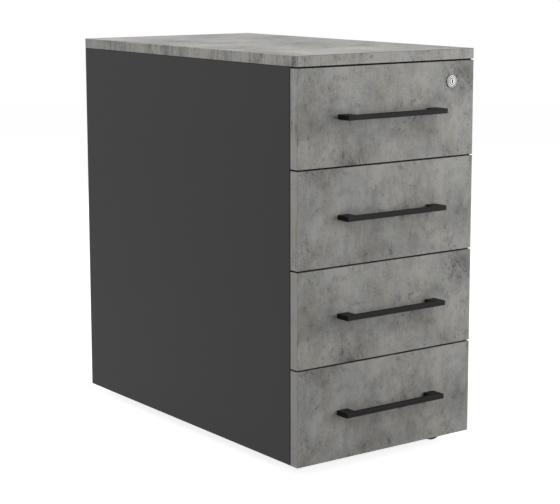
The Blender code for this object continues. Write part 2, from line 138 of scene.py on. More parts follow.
class StageSettings(bpy.types.PropertyGroup):
    floor: colour("Floor", "Colour of the studio floor", (0.24, 0.24, 0.24))
    overhead_power: power("Overhead light", "Power of the softbox over the cabinet", 11.8)
    overhead_place: place("Overhead place", "Where the overhead softbox hangs", (-0.1, 0.0, 2.3))
    side_power: power("Side light", "Power of the softbox on the left", 14.0)
    side_place: place("Side place", "Where the side softbox stands", (-1.5, -0.35, 1.65))
    front_power: power("Front light", "Power of the softbox in front", 18.8)
    front_place: place("Front place", "Where the front softbox stands", (1.15, -1.62, 0.78))
    rear_power: power("Rear light", "Power of the softbox behind", 14.0)
    rear_place: place("Rear place", "Where the rear softbox stands", (0.35, 3.0, 1.0))
    right_power: power("Right light", "Power of the softbox on the right", 14.0)
    right_place: place("Right place", "Where the right softbox stands", (3.0, -0.4, 1.1))
    ambient: FloatProperty(
        name="Room light",
        description="Strength of the even light from all round",
        default=0.2,
        min=0.0,
    )
    camera_place: place("Camera place", "Where the camera stands", (-1.8413, -2.5565, 0.9085))
    camera_turn: FloatVectorProperty(
        name="Camera turn",
        description="Rotation of the camera",
        default=(math.radians(80.840), 0.0, math.radians(-36.565)),
        size=3,
        subtype="EULER",
        unit="ROTATION",
    )
    lens: FloatProperty(
        name="Lens",
        description="Focal length in millimetres",
        default=105.39,
        min=1.0,
        unit="CAMERA",
    )
    shift: FloatVectorProperty(
        name="Lens shift",
        description="Shift of the lens sideways and upwards",
        default=(-0.03, -0.06),
        size=2,
    )


class BoardSettings(bpy.types.PropertyGroup):
    front_round: length("Front edge round", "Radius of the banded edges of top and fronts", 0.0006)
    carcass_round: length("Carcass edge round", "Radius of the carcass boards' edges", 0.0009)
    dark: colour("Concrete dark", "Darkest grey of the concrete print", (0.0855, 0.085, 0.0815))
    middle: colour("Concrete middle", "Middle grey of the concrete print", (0.265, 0.263, 0.2515))
    light: colour("Concrete light", "Lightest grey of the concrete print", (0.431, 0.4285, 0.415))
    warm: colour("Concrete warm", "Tint of the warm patches in the print", (1.0, 0.962, 0.895))
    anthracite: colour("Anthracite", "Colour of the carcass boards", (0.037, 0.037, 0.0368))


class HandleSettings(bpy.types.PropertyGroup):
    leg: length("Leg width", "Width of each leg of the bow", 0.024)
    bar: length("Bar depth", "Depth of the bar that is gripped", 0.010)
    fillet: length("Inner fillet", "Radius between leg and bar", 0.008)
    corner: length("Outer corner", "Radius of the bow's outer corners", 0.0018)
    edge: length("Edge round", "Radius of the long edges", 0.0007)
    powder: colour("Powder coat", "Colour of the matt coat", (0.0065, 0.0065, 0.006))


class LockSettings(bpy.types.PropertyGroup):
    plug: length("Plug diameter", "Diameter of the turning plug", 0.012)
    rosette: length("Rosette diameter", "Diameter of the visible ring", 0.024)
    barrel: length("Barrel diameter", "Diameter of the barrel through the front", 0.018)
    keyway_width: length("Keyway width", "Width of the key's slot", 0.0030)
    keyway_height: length("Keyway height", "Height of the key's slot", 0.007)
    nickel: colour("Nickel", "Colour of the plating", (0.36, 0.357, 0.348))


class TraySettings(bpy.types.PropertyGroup):
    sheet: length("Sheet", "Thickness of the steel", 0.001)
    hem: length("Hem", "Height of the folded rim", 0.008)
    corner: length("Corner round", "Radius of the upright corners", 0.004)
    fold: length("Fold round", "Radius of the fold along the floor", 0.002)
    ribs: IntProperty(
        name="Ribs", description="Pressed ribs along the floor", default=4, min=0, max=12
    )
    rib_width: length("Rib width", "Width of a pressed rib", 0.012)
    enamel: colour("Enamel", "Colour of the stoved coat", (0.125, 0.126, 0.130))


class RunnerSettings(bpy.types.PropertyGroup):
    sheet: length("Runner sheet", "Thickness of the runner's steel", 0.0012)
    bend: length("Bend round", "Outer radius of the bends", 0.0024)
    ball: length("Ball diameter", "Diameter of the balls", 0.005)
    balls: IntProperty(
        name="Balls", description="Balls in each row of a cage", default=9, min=2, max=30
    )
    cage_sheet: length("Cage sheet", "Thickness of the cage's strip", 0.0008)
    zinc: colour("Zinc", "Colour of the zinc plating", (0.50, 0.51, 0.52))


class CastorSettings(bpy.types.PropertyGroup):
    width: length("Wheel width", "Width of the tread", 0.018)
    hub: length("Hub width", "Width over the hubs", 0.020)
    bore: length("Bore", "Diameter of the axle hole", 0.0066)
    edge: length("Edge round", "Radius of the pressed steel's edges", 0.0004)
    nylon: colour("Nylon", "Colour of the wheels", (0.024, 0.024, 0.025))


class FastenerSettings(bpy.types.PropertyGroup):
    handle_head: length("Handle screw", "Head diameter of the handle screws", 0.0085)
    tray_head: length("Tray screw", "Head diameter of the runner screws", 0.007)
    plate_head: length("Castor screw", "Head diameter of the castor plate screws", 0.006)
    bumper: length("Bumper diameter", "Diameter of the bumpers behind the fronts", 0.007)
    seal: length("Gap seal", "Height of the seal over each front", 0.0019)
    rubber: colour("Bumper", "Colour of the bumpers", (0.33, 0.33, 0.32))
    # near-black as painted shade in the gaps over the fronts
    black: colour("Seal", "Colour of the seals over the fronts", (0.005, 0.005, 0.005))


def add(tree, kind, inputs=None, **settings):
    """A node with its settings; each input is a value or the socket it is linked from."""
    node = tree.nodes.new(kind)
    for name, value in settings.items():
        setattr(node, name, value)
    for key, value in (inputs or {}).items():
        socket = node.inputs[key]
        if isinstance(value, bpy.types.NodeSocket):
            tree.links.new(value, socket)
        else:
            socket.default_value = value
    return node


def calc(tree, operation, *values):
    return add(tree, "ShaderNodeMath", dict(enumerate(values)), operation=operation).outputs[0]


def noise(tree, vector, scale, detail=3.0, roughness=0.55):
    inputs = {"Vector": vector, "Scale": scale, "Detail": detail, "Roughness": roughness}
    return add(tree, "ShaderNodeTexNoise", inputs).outputs[0]


def stretched(tree, vector, scale, shift=(0.0, 0.0, 0.0)):
    inputs = {"Vector": vector, "Scale": scale, "Location": shift}
    return add(tree, "ShaderNodeMapping", inputs).outputs[0]


def between(tree, value, low, high):
    """A smooth step from 0 at low to 1 at high."""
    inputs = {"Value": value, "From Min": low, "From Max": high}
    return add(tree, "ShaderNodeMapRange", inputs, interpolation_type="SMOOTHSTEP").outputs[0]


def weighted(tree, start, *terms):
    """start plus each weight times how far its value is from the middle, 0.5."""
    total = start
    for value, weight in terms:
        offset = calc(tree, "SUBTRACT", value, 0.5)
        total = calc(tree, "MULTIPLY_ADD", offset, weight, total)
    return total


def mixed(tree, factor, first, second, blend="MIX"):
    """Two colours in one; the sockets go by number, because the kinds of mix share their names."""
    inputs = {0: factor, 6: first, 7: second}
    return add(tree, "ShaderNodeMix", inputs, data_type="RGBA", blend_type=blend).outputs[2]


def tinted(tree, shade, tint, factor):
    return mixed(tree, factor, shade, (*tint, 1.0), "MULTIPLY")


def new_group(name, inputs, outputs):
    tree = bpy.data.node_groups.new(name, "ShaderNodeTree")
    for label, kind in inputs:
        tree.interface.new_socket(label, in_out="INPUT", socket_type=kind)
    for label, kind in outputs:
        tree.interface.new_socket(label, in_out="OUTPUT", socket_type=kind)
    return tree, tree.nodes.new("NodeGroupInput"), tree.nodes.new("NodeGroupOutput")


def put_out(tree, end, **sockets):
    for label, socket in sockets.items():
        tree.links.new(socket, end.inputs[label])
    return tree


VECTOR = "NodeSocketVector"
VALUE = "NodeSocketFloat"


def concrete_group():
    """A printed concrete decor whose streaks run along Z: tone, warmth, gloss and height."""
    tree, start, end = new_group(
        "Concrete print",
        [("Vector", VECTOR)],
        [("Tone", VALUE), ("Warmth", VALUE), ("Gloss", VALUE), ("Height", VALUE)],
    )
    where = start.outputs["Vector"]

    def field(squeeze, shift, scale, detail, roughness):
        """Noise from its own place in the print, squeezed along Z."""
        spot = stretched(tree, where, (1.0, 1.0, squeeze), shift)
        return noise(tree, spot, scale, detail, roughness)

    patches = field(0.95, (0.0, 0.0, 0.0), 10.0, 3.0, 0.5)
    clouds = field(0.88, (3.1, 1.7, 0.4), 34.0, 6.0, 0.60)
    blots = field(0.80, (7.3, 5.9, 2.8), 110.0, 4.0, 0.62)
    streaks = field(0.10, (0.7, 2.3, 5.1), 330.0, 3.0, 0.6)
    grain = field(0.60, (0.0, 0.0, 0.0), 700.0, 2.0, 0.55)
    cluster = between(tree, field(0.9, (9.0, 1.0, 7.7), 20.0, 3.0, 0.6), 0.46, 0.62)
    smudge = between(tree, field(0.75, (6.2, 4.4, 1.9), 105.0, 4.0, 0.65), 0.53, 0.66)
    smudge = calc(tree, "MULTIPLY", smudge, cluster)
    marks = between(tree, field(0.45, (2.2, 8.8, 3.3), 230.0, 4.0, 0.62), 0.56, 0.68)
    marks = calc(tree, "MULTIPLY", marks, cluster)
    pits = between(tree, field(0.8, (1.9, 3.6, 8.1), 170.0, 4.0, 0.6), 0.61, 0.73)
    broken = between(tree, blots, 0.47, 0.60)
    cracks = []
    for squeeze, shift, scale in ((0.30, (4.7, 6.6, 0.9), 46.0), (2.4, (8.4, 2.9, 6.3), 24.0)):
        ridge = calc(tree, "SUBTRACT", field(squeeze, shift, scale, 5.0, 0.62), 0.5)
        line = between(tree, calc(tree, "ABSOLUTE", ridge), 0.024, 0.004)
        cracks.append(calc(tree, "MULTIPLY", line, broken))
    tone = weighted(
        tree, 0.68, (patches, 1.45), (clouds, 1.05), (blots, 0.55), (streaks, 0.22), (grain, 0.18)
    )
    upright, level = cracks
    stains = ((smudge, -0.30), (marks, -0.40), (pits, -0.34), (upright, -0.30), (level, -0.24))
    for mask, depth in stains:
        tone = calc(tree, "MULTIPLY_ADD", mask, depth, tone)
    warmth = between(tree, field(0.8, (5.5, 0.3, 2.6), 19.0, 4.0, 0.6), 0.40, 0.64)
    gloss = weighted(tree, 0.5, (clouds, 0.5), (grain, 0.5))
    height = weighted(tree, 0.5, (grain, 0.7), (streaks, 0.5))
    for mask in (marks, pits):
        height = calc(tree, "MULTIPLY_ADD", mask, -0.5, height)
    return put_out(tree, end, Tone=tone, Warmth=warmth, Gloss=gloss, Height=height)


def peel_group():
    """The fine skin of powder coats, laminates and mouldings."""
    tree, start, end = new_group(
        "Fine peel", [("Vector", VECTOR), ("Scale", VALUE)], [("Tone", VALUE), ("Height", VALUE)]
    )
    where = start.outputs["Vector"]
    fine = noise(tree, where, start.outputs["Scale"], 2.0)
    broad = noise(tree, where, 9.0, 3.0)
    tone = weighted(tree, 0.5, (broad, 0.6), (fine, 0.5))
    return put_out(tree, end, Tone=tone, Height=fine)


def wear_group():
    """Rubbed edges and light scuffs; Edge marks the rounded edges."""
    tree, start, end = new_group(
        "Edge rub", [("Vector", VECTOR), ("Edge", VALUE)], [("Rub", VALUE), ("Scuff", VALUE)]
    )
    where = start.outputs["Vector"]
    patchy = between(tree, noise(tree, where, 55.0, 4.0, 0.65), 0.44, 0.68)
    rub = calc(tree, "MULTIPLY", patchy, start.outputs["Edge"])
    scratch = noise(tree, stretched(tree, where, (1.0, 0.16, 0.5)), 240.0, 4.0, 0.7)
    scuff = between(tree, scratch, 0.60, 0.76)
    return put_out(tree, end, Rub=rub, Scuff=scuff)


def metal_group():
    """Plated sheet with rolling lines along Y and cloudy plating."""
    tree, start, end = new_group(
        "Plated metal", [("Vector", VECTOR)], [("Tone", VALUE), ("Gloss", VALUE), ("Height", VALUE)]
    )
    where = start.outputs["Vector"]
    lines = noise(tree, stretched(tree, where, (1.0, 0.03, 1.0)), 900.0, 2.0)
    clouds = noise(tree, where, 26.0, 4.0, 0.6)
    spangle = add(tree, "ShaderNodeTexVoronoi", {"Vector": where, "Scale": 170.0}).outputs["Color"]
    flake = add(tree, "ShaderNodeSeparateColor", {0: spangle}).outputs[0]
    tone = weighted(tree, 0.5, (clouds, 0.7), (flake, 0.18), (lines, 0.3))
    gloss = weighted(tree, 0.5, (clouds, 0.6), (lines, 0.5), (flake, 0.2))
    return put_out(tree, end, Tone=tone, Gloss=gloss, Height=lines)


GROUPS = {
    "Concrete print": concrete_group,
    "Fine peel": peel_group,
    "Edge rub": wear_group,
    "Plated metal": metal_group,
}


def grouped(tree, name, inputs):
    """Places a shared group in a material, making it the first time."""
    shared = bpy.data.node_groups.get(name) or GROUPS[name]()
    return add(tree, "ShaderNodeGroup", inputs, node_tree=shared).outputs


def new_material(name, base, roughness, metallic=0.0, specular=0.5):
    material = bpy.data.materials.new(name)
    material.use_nodes = True
    material.diffuse_color = (*base, 1.0)
    tree = material.node_tree
    shader = tree.nodes["Principled BSDF"]
    shader.inputs["Base Color"].default_value = (*base, 1.0)
    shader.inputs["Roughness"].default_value = roughness
    shader.inputs["Metallic"].default_value = metallic
    shader.inputs["Specular IOR Level"].default_value = specular
    return material, tree, shader


def object_place(tree, centre=(0.0, 0.0, 0.0), turn=(0.0, 0.0, 0.0)):
    """Object coordinates measured from a centre, then turned."""
    raw = add(tree, "ShaderNodeTexCoord").outputs["Object"]
    shift = {"Vector": raw, "Location": tuple(-value for value in centre)}
    moved = add(tree, "ShaderNodeMapping", shift).outputs[0]
    return add(tree, "ShaderNodeMapping", {"Vector": moved, "Rotation": turn}).outputs[0]


def ramped(tree, factor, stops):
    node = add(tree, "ShaderNodeValToRGB", {"Fac": factor})
    ramp = node.color_ramp
    while len(ramp.elements) < len(stops):
        ramp.elements.new(0.5)
    for element, (position, value) in zip(ramp.elements, stops):
        element.position = position
        element.color = (*value, 1.0)
    return node.outputs["Color"]


def scaled(base, factor):
    return tuple(min(1.0, value * factor) for value in base)


def mottled(tree, tone, base, low, high, margin=0.25):
    """A base colour that a tone moves between low and high times itself."""
    return ramped(tree, tone, ((margin, scaled(base, low)), (1.0 - margin, scaled(base, high))))


def bumped(tree, shader, height, distance, strength):
    inputs = {"Height": height, "Distance": distance, "Strength": strength}
    tree.links.new(add(tree, "ShaderNodeBump", inputs).outputs["Normal"], shader.inputs["Normal"])


def ranged(tree, value, low, high):
    inputs = {"Value": value, "To Min": low, "To Max": high}
    return add(tree, "ShaderNodeMapRange", inputs).outputs[0]


def concrete_material(name, centre, drift, turn=(0.0, 0.0, 0.0)):
    """Printed concrete on a board's faces; drift picks the part of the print."""
    boards = bpy.context.scene.pedestal_boards
    material, tree, shader = new_material(name, boards.middle, 0.5, specular=0.3)
    middle = object_place(tree, centre, turn)
    where = add(tree, "ShaderNodeVectorMath", {0: middle, 1: drift}, operation="ADD").outputs[0]
    decor = grouped(tree, "Concrete print", {"Vector": where})
    concrete_skin(tree, shader, decor, decor["Tone"])
    return material


def band_material(name, drift, paleness, painted_edge_light, stripes=1.0):
    """The edge band: the print with broad upright stripes; the edge factor paints light onto its
    rounded edges, a highlight above 1 and shade below 1.
    """
    boards = bpy.context.scene.pedestal_boards
    material, tree, shader = new_material(name, boards.middle, 0.5, specular=0.3)
    where = object_place(tree, drift)
    decor = grouped(tree, "Concrete print", {"Vector": where})
    broad = noise(tree, stretched(tree, where, (0.3, 1.0, 0.05)), 66.0, 3.0, 0.62)
    fine = noise(tree, stretched(tree, where, (0.4, 1.0, 0.04)), 240.0, 2.0, 0.6)
    tone = calc(tree, "MULTIPLY_ADD", decor["Tone"], 1.35, paleness - 0.175)
    tone = weighted(tree, tone, (broad, 1.8 * stripes), (fine, 1.2 * stripes))
    concrete_skin(tree, shader, decor, tone, painted_edge_light)
    return material


def concrete_skin(tree, shader, decor, tone, painted_edge_light=None):
    boards = bpy.context.scene.pedestal_boards
    shade = ramped(tree, tone, ((0.0, boards.dark), (0.5, boards.middle), (1.0, boards.light)))
    shade = tinted(tree, shade, boards.warm, decor["Warmth"])
    # painted light on the rounded edges: a highlight above 1, shade below 1
    if painted_edge_light:
        shade = tinted(tree, shade, (painted_edge_light,) * 3, edge_wear_and_light_mark(tree))
    tree.links.new(shade, shader.inputs["Base Color"])
    tree.links.new(ranged(tree, decor["Gloss"], 0.42, 0.62), shader.inputs["Roughness"])
    bumped(tree, shader, decor["Height"], 0.00012, 0.6)


def anthracite_material():
    """Coated board whose rounded edges are darkened as painted shade and rubbed paler in places."""
    base = bpy.context.scene.pedestal_boards.anthracite
    material, tree, shader = new_material("anthracite_melamine", base, 0.5, specular=0.2)
    where = object_place(tree)
    skin = grouped(tree, "Fine peel", {"Vector": where, "Scale": 900.0})
    rubbed = grouped(tree, "Edge rub", {"Vector": where, "Edge": edge_wear_and_light_mark(tree)})
    shade = mottled(tree, skin["Tone"], base, 0.93, 1.07, 0.3)
    # painted shade: the rounded edges are darkened to 0.45 of the board's colour, for the dark
    # seams where the boards meet
    shade = tinted(tree, shade, (0.45, 0.45, 0.45), edge_wear_and_light_mark(tree))
    worn = calc(tree, "MULTIPLY", rubbed["Rub"], 0.2)
    shade = mixed(tree, worn, shade, (*scaled(base, 1.6), 1.0))
    tree.links.new(shade, shader.inputs["Base Color"])
    rough = ranged(tree, skin["Tone"], 0.46, 0.58)
    rough = calc(tree, "MULTIPLY_ADD", rubbed["Scuff"], 0.05, rough)
    tree.links.new(rough, shader.inputs["Roughness"])
    bumped(tree, shader, skin["Height"], 0.00008, 0.5)
    return material


def edge_wear_and_light_mark(tree):
    """1 on the faces that rounding an edge made."""
    return add(tree, "ShaderNodeAttribute", attribute_name=EDGE_WEAR_AND_LIGHT).outputs["Fac"]


def coat_material(name, base, scale, rough, pale, bump, specular):
    """A sprayed or moulded skin with rubbed edges."""
    material, tree, shader = new_material(name, base, rough, specular=specular)
    where = object_place(tree)
    skin = grouped(tree, "Fine peel", {"Vector": where, "Scale": scale})
    rubbed = grouped(tree, "Edge rub", {"Vector": where, "Edge": edge_wear_and_light_mark(tree)})
    shade = mottled(tree, skin["Tone"], base, 0.84, 1.16)
    worn = calc(tree, "MULTIPLY", rubbed["Rub"], 0.6)
    worn = calc(tree, "MULTIPLY_ADD", rubbed["Scuff"], 0.12, worn)
    shade = mixed(tree, worn, shade, (*pale, 1.0))
    tree.links.new(shade, shader.inputs["Base Color"])
    gloss = ranged(tree, skin["Tone"], rough - 0.06, rough + 0.08)
    gloss = calc(tree, "MULTIPLY_ADD", rubbed["Rub"], -0.12, gloss)
    tree.links.new(gloss, shader.inputs["Roughness"])
    bumped(tree, shader, skin["Height"], bump, 0.7)
    return material


def zinc_material():
    """Plated sheet steel."""
    zinc = bpy.context.scene.pedestal_runners.zinc
    material, tree, shader = new_material("zinc_plating", zinc, 0.44, 1.0)
    where = object_place(tree)
    sheet = grouped(tree, "Plated metal", {"Vector": where})
    rubbed = grouped(tree, "Edge rub", {"Vector": where, "Edge": edge_wear_and_light_mark(tree)})
    shade = mottled(tree, sheet["Tone"], zinc, 0.78, 1.14)
    shade = tinted(tree, shade, (0.96, 0.97, 1.0), rubbed["Scuff"])
    tree.links.new(shade, shader.inputs["Base Color"])
    tree.links.new(ranged(tree, sheet["Gloss"], 0.34, 0.54), shader.inputs["Roughness"])
    bumped(tree, shader, sheet["Height"], 0.00004, 0.5)
    return material


# Painted shade on the lock's face: how much light it gives back, by the share of the rosette's
# radius
PAINTED_GROOVE_SHADE = (
    (0.0, 0.80),
    (0.46, 0.78),
    (0.505, 0.10),  # painted shade in the gap round the plug
    (0.535, 0.9),
    (0.66, 0.92),
    (0.72, 0.34),  # painted shade in the groove in the rosette
    (0.79, 0.95),
    (0.94, 0.92),
    # painted shade round the rosette's rim
    (1.0, 0.4),
)


def nickel_material():
    """Bright plating with turning rings round the lock's axis and painted shade in its gap, groove
    and rim.
    """
    lock = bpy.context.scene.pedestal_lock
    nickel = lock.nickel
    material, tree, shader = new_material("nickel_plating", nickel, 0.24, 1.0)
    where = object_place(tree, JOINTS["lock_turn"]["pos_m"])
    flat = stretched(tree, where, (1.0, 0.0, 1.0))
    radius = add(tree, "ShaderNodeVectorMath", {0: flat}, operation="LENGTH").outputs["Value"]
    ring_place = add(tree, "ShaderNodeCombineXYZ", {0: radius}).outputs[0]
    rings = noise(tree, ring_place, 3500.0, 2.0)
    sheet = grouped(tree, "Plated metal", {"Vector": where})
    tone = weighted(tree, 0.5, (rings, 0.5), (sheet["Tone"], 0.4))
    shade = mottled(tree, tone, nickel, 0.86, 1.08)
    reach = calc(tree, "DIVIDE", radius, lock.rosette / 2)
    # painted shade: the face is darkened by radius in the plug's gap, the rosette's groove and at
    # its rim
    painted_shade = ramped(tree, reach, [(position, (value,) * 3) for position, value in PAINTED_GROOVE_SHADE])
    shade = mixed(tree, 1.0, shade, painted_shade, "MULTIPLY")
    tree.links.new(shade, shader.inputs["Base Color"])
    tree.links.new(ranged(tree, rings, 0.16, 0.34), shader.inputs["Roughness"])
    bumped(tree, shader, rings, 0.00003, 0.4)
    return material


FINISHES = {
    "anthracite_melamine": anthracite_material,
    "nickel_plating": nickel_material,
    "zinc_plating": zinc_material,
}
# Where the colour is set, grain, roughness, colour where rubbed, depth of bump, specular level
COATS = {
    "matt_powder": ("handles", "powder", 1500.0, 0.5, (0.03, 0.03, 0.029), 0.00010, 0.12),
    "stoved_enamel": ("trays", "enamel", 1100.0, 0.42, (0.20, 0.20, 0.205), 0.00008, 0.25),
    "black_nylon": ("castors", "nylon", 700.0, 0.48, (0.07, 0.068, 0.064), 0.00012, 0.25),
    "bumper_rubber": ("fasteners", "rubber", 500.0, 0.62, (0.42, 0.42, 0.41), 0.00006, 0.25),
    # the strips over the fronts: near-black as painted shade in the gaps
    "seal_rubber": ("fasteners", "black", 600.0, 0.7, (0.012, 0.012, 0.012), 0.00008, 0.08),
}


def coated(name):
    """The shared finishes, each made once."""
    found = bpy.data.materials.get(name)
    if found:
        return found
    if name in FINISHES:
        return FINISHES[name]()
    group, field, *skin = COATS[name]
    settings = getattr(bpy.context.scene, f"pedestal_{group}")
    return coat_material(name, getattr(settings, field), *skin)


def joined(bm, other):
    """Adds another bmesh to this one."""
    mesh = bpy.data.meshes.new("joined")
    other.to_mesh(mesh)
    other.free()
    bm.from_mesh(mesh)
    bpy.data.meshes.remove(mesh)
    return bm


def bevelled(bm, geom, offset, segments, affect="EDGES", clamp=False):
    """Bevels edges or corners to a round and gives the new faces."""
    made = bmesh.ops.bevel(
        bm,
        geom=geom,
        offset=offset,
        offset_type="OFFSET",
        affect=affect,
        segments=segments,
        profile=0.5,
        clamp_overlap=clamp,
        material=-1,
    )
    return made["faces"]


def rounded(bm, edges, offset, segments):
    """Rounds edges and marks the new faces, where the materials put rubbed wear and painted edge
    light.
    """
    mark = bm.faces.layers.float.get(EDGE_WEAR_AND_LIGHT) or bm.faces.layers.float.new(EDGE_WEAR_AND_LIGHT)
    for face in bevelled(bm, edges, offset, segments, clamp=True):
        face[mark] = 1.0
    return bm


def is_corner(edge):
    return edge.calc_face_angle(0.0) > CORNER


def extruded(outline, way):
    """A closed outline pushed along a way into a solid."""
    bm = bmesh.new()
    face = bm.faces.new([bm.verts.new(point) for point in outline])
    grown = bmesh.ops.extrude_face_region(bm, geom=[face])["geom"]
    far = [item for item in grown if isinstance(item, bmesh.types.BMVert)]
    bmesh.ops.translate(bm, verts=far, vec=way)
    bmesh.ops.recalc_face_normals(bm, faces=bm.faces)
    return bm


def block(low, high):
    bm = bmesh.new()
    low, high = Vector(low), Vector(high)
    size = Matrix.Diagonal((*(high - low), 1.0))
    bmesh.ops.create_cube(bm, size=1.0, matrix=Matrix.Translation((low + high) / 2) @ size)
    return bm


def soft_block(low, high, radius, segments=3):
    bm = block(low, high)
    return rounded(bm, bm.edges[:], radius, segments)


def turned(profile, centre, axis, steps, closed=True):
    """A profile of (radius, distance along the axis) points spun about an axis."""
    bm = bmesh.new()
    centre = Vector(centre)
    axis = Vector(axis).normalized()
    side = axis.orthogonal().normalized()
    points = [bm.verts.new(centre + side * radius + axis * along) for radius, along in profile]
    edges = [bm.edges.new(pair) for pair in zip(points, points[1:])]
    if closed:
        edges.append(bm.edges.new((points[-1], points[0])))
    bmesh.ops.spin(
        bm,
        geom=points + edges,
        cent=centre,
        axis=axis,
        angle=math.tau,
        steps=steps,
        use_merge=True,
    )
    bmesh.ops.remove_doubles(bm, verts=bm.verts, dist=TOUCH)
    bmesh.ops.recalc_face_normals(bm, faces=bm.faces)
    return bm


def carved(bm, cutter):
    """Cuts one bmesh out of another with a Boolean that is applied at once."""
    pair = []
    for part in (bm, cutter):
        mesh = bpy.data.meshes.new("carving")
        bmesh.ops.recalc_face_normals(part, faces=part.faces)
        part.to_mesh(mesh)
        part.free()
        obj = bpy.data.objects.new("carving", mesh)
        bpy.context.scene.collection.objects.link(obj)
        pair.append(obj)
    body, tool = pair
    cut = body.modifiers.new("cut", "BOOLEAN")
    cut.operation = "DIFFERENCE"
    cut.solver = "EXACT"
    cut.object = tool
    bpy.context.view_layer.update()
    graph = bpy.context.evaluated_depsgraph_get()
    result = bmesh.new()
    result.from_object(body, graph)
    for obj in pair:
        mesh = obj.data
        bpy.data.objects.remove(obj)
        bpy.data.meshes.remove(mesh)
    if not result.faces:
        raise RuntimeError("a cut removed the whole piece")
    return result


def softened(node, offset, segments=2):
    """A CAD node's shape with its loose triangles merged and its sharp edges rounded."""
    bm = bmesh.new()
    bm.from_mesh(frame["nodes"][node].data)
    bmesh.ops.remove_doubles(bm, verts=bm.verts, dist=2 * TOUCH)
    flat = math.radians(1.0)
    bmesh.ops.dissolve_limit(bm, angle_limit=flat, verts=bm.verts[:], edges=bm.edges[:])
    sharp = [edge for edge in bm.edges if edge.calc_face_angle(0.0) > SHARP]
    return rounded(bm, sharp, offset, segments)


def finished(name, bm, materials, body, slot, *nodes):
    """Turns a bmesh into a piece at the origin that rides a body and stands for its CAD nodes."""
    bmesh.ops.remove_doubles(bm, verts=bm.verts, dist=TOUCH / 10)
    bmesh.ops.recalc_face_normals(bm, faces=bm.faces)
    mesh = bpy.data.meshes.new(name)
    bm.to_mesh(mesh)
    bm.free()
    mesh.shade_smooth()
    mesh.set_sharp_from_angle(angle=CREASE)
    for material in materials:
        mesh.materials.append(material)
    obj = bpy.data.objects.new(name, mesh)
    bpy.context.scene.collection.objects.link(obj)
    flat = obj.modifiers.new("flat_faces", "WEIGHTED_NORMAL")
    flat.keep_sharp = True
    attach(obj, body)
    if nodes:
        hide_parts(*nodes)


def dressed(name, bm, finish, body, *nodes):
    """A piece in one of the shared finishes."""
    finished(name, bm, (coated(finish),), body, SLOTS[finish], *nodes)


def banded(bm, axis, lip_axis):
    """Gives faces along axis the first material, along lip_axis the third, others the second."""
    bm.normal_update()
    for face in bm.faces:
        if abs(face.normal[lip_axis]) > 0.6:
            face.material_index = 2
        else:
            face.material_index = 0 if abs(face.normal[axis]) > 0.9 else 1
    return bm


def lamp(name, position, target, size, watts):
    data = bpy.data.lights.new(name, "AREA")
    data.shape = "SQUARE"
    data.size = size
    data.energy = watts
    obj = bpy.data.objects.new(name, data)
    obj.location = position
    obj.rotation_euler = (Vector(target) - Vector(position)).to_track_quat("-Z", "Y").to_euler()
    bpy.context.scene.collection.objects.link(obj)


def white_rays(tree):
    """1 for rays that see the background directly, in a mirror or through glass."""
    path = add(tree, "ShaderNodeLightPath").outputs
    seen = calc(tree, "MAXIMUM", path["Is Camera Ray"], path["Is Glossy Ray"])
    return calc(tree, "MAXIMUM", seen, path["Is Transmission Ray"])


class PEDESTAL_OT_stage(bpy.types.Operator):
    """Makes the camera, the lights, the white surroundings and the floor"""

    bl_idname = "pedestal.stage"
    bl_label = "Stage"

    def execute(self, context):
        scene = context.scene
        settings = scene.pedestal_stage
        scene.view_settings.view_transform = "Standard"
        self.camera(scene, settings)
        middle = (CAD_BOX[0] + CAD_BOX[1]) / 2
        for name, size in SOFTBOXES.items():
            spot = getattr(settings, f"{name}_place")
            lamp(f"{name}_light", spot, middle, size, getattr(settings, f"{name}_power"))
        self.surroundings(scene, settings)
        self.floor(settings)
        return {"FINISHED"}

    def camera(self, scene, settings):
        data = bpy.data.cameras.new("camera")
        data.sensor_width = 36.0
        data.lens = settings.lens
        data.shift_x, data.shift_y = settings.shift
        obj = bpy.data.objects.new("camera", data)
        obj.location = settings.camera_place
        obj.rotation_euler = settings.camera_turn
        scene.collection.objects.link(obj)
        scene.camera = obj

    def surroundings(self, scene, settings):
        world = bpy.data.worlds.new("white_room")
        world.use_nodes = True
        tree = world.node_tree
        room = tree.nodes["Background"]
        room.inputs["Strength"].default_value = settings.ambient
        room.inputs["Color"].default_value = WHITE
        white = add(tree, "ShaderNodeBackground", {"Color": WHITE, "Strength": 1.0})
        shaders = {0: white_rays(tree), 1: room.outputs[0], 2: white.outputs[0]}
        mix = add(tree, "ShaderNodeMixShader", shaders)
        tree.links.new(mix.outputs[0], tree.nodes["World Output"].inputs["Surface"])
        scene.world = world

    def floor(self, settings):
        """A grey disc that shows white apart from the shadow on it."""
        material, tree, shader = new_material("studio_floor", settings.floor, 0.9, specular=0.0)
        seen = white_rays(tree)
        shown = mixed(tree, seen, (*settings.floor, 1.0), (0.66, 0.66, 0.66, 1.0))
        tree.links.new(shown, shader.inputs["Base Color"])
        shader.inputs["Emission Color"].default_value = WHITE
        tree.links.new(calc(tree, "MULTIPLY", seen, 0.85), shader.inputs["Emission Strength"])
        bm = bmesh.new()
        bmesh.ops.create_circle(bm, cap_ends=True, segments=96, radius=7.0)
        mesh = bpy.data.meshes.new("floor")
        bm.to_mesh(mesh)
        bm.free()
        mesh.materials.append(material)
        floor = bpy.data.objects.new("floor", mesh)
        bpy.context.scene.collection.objects.link(floor)


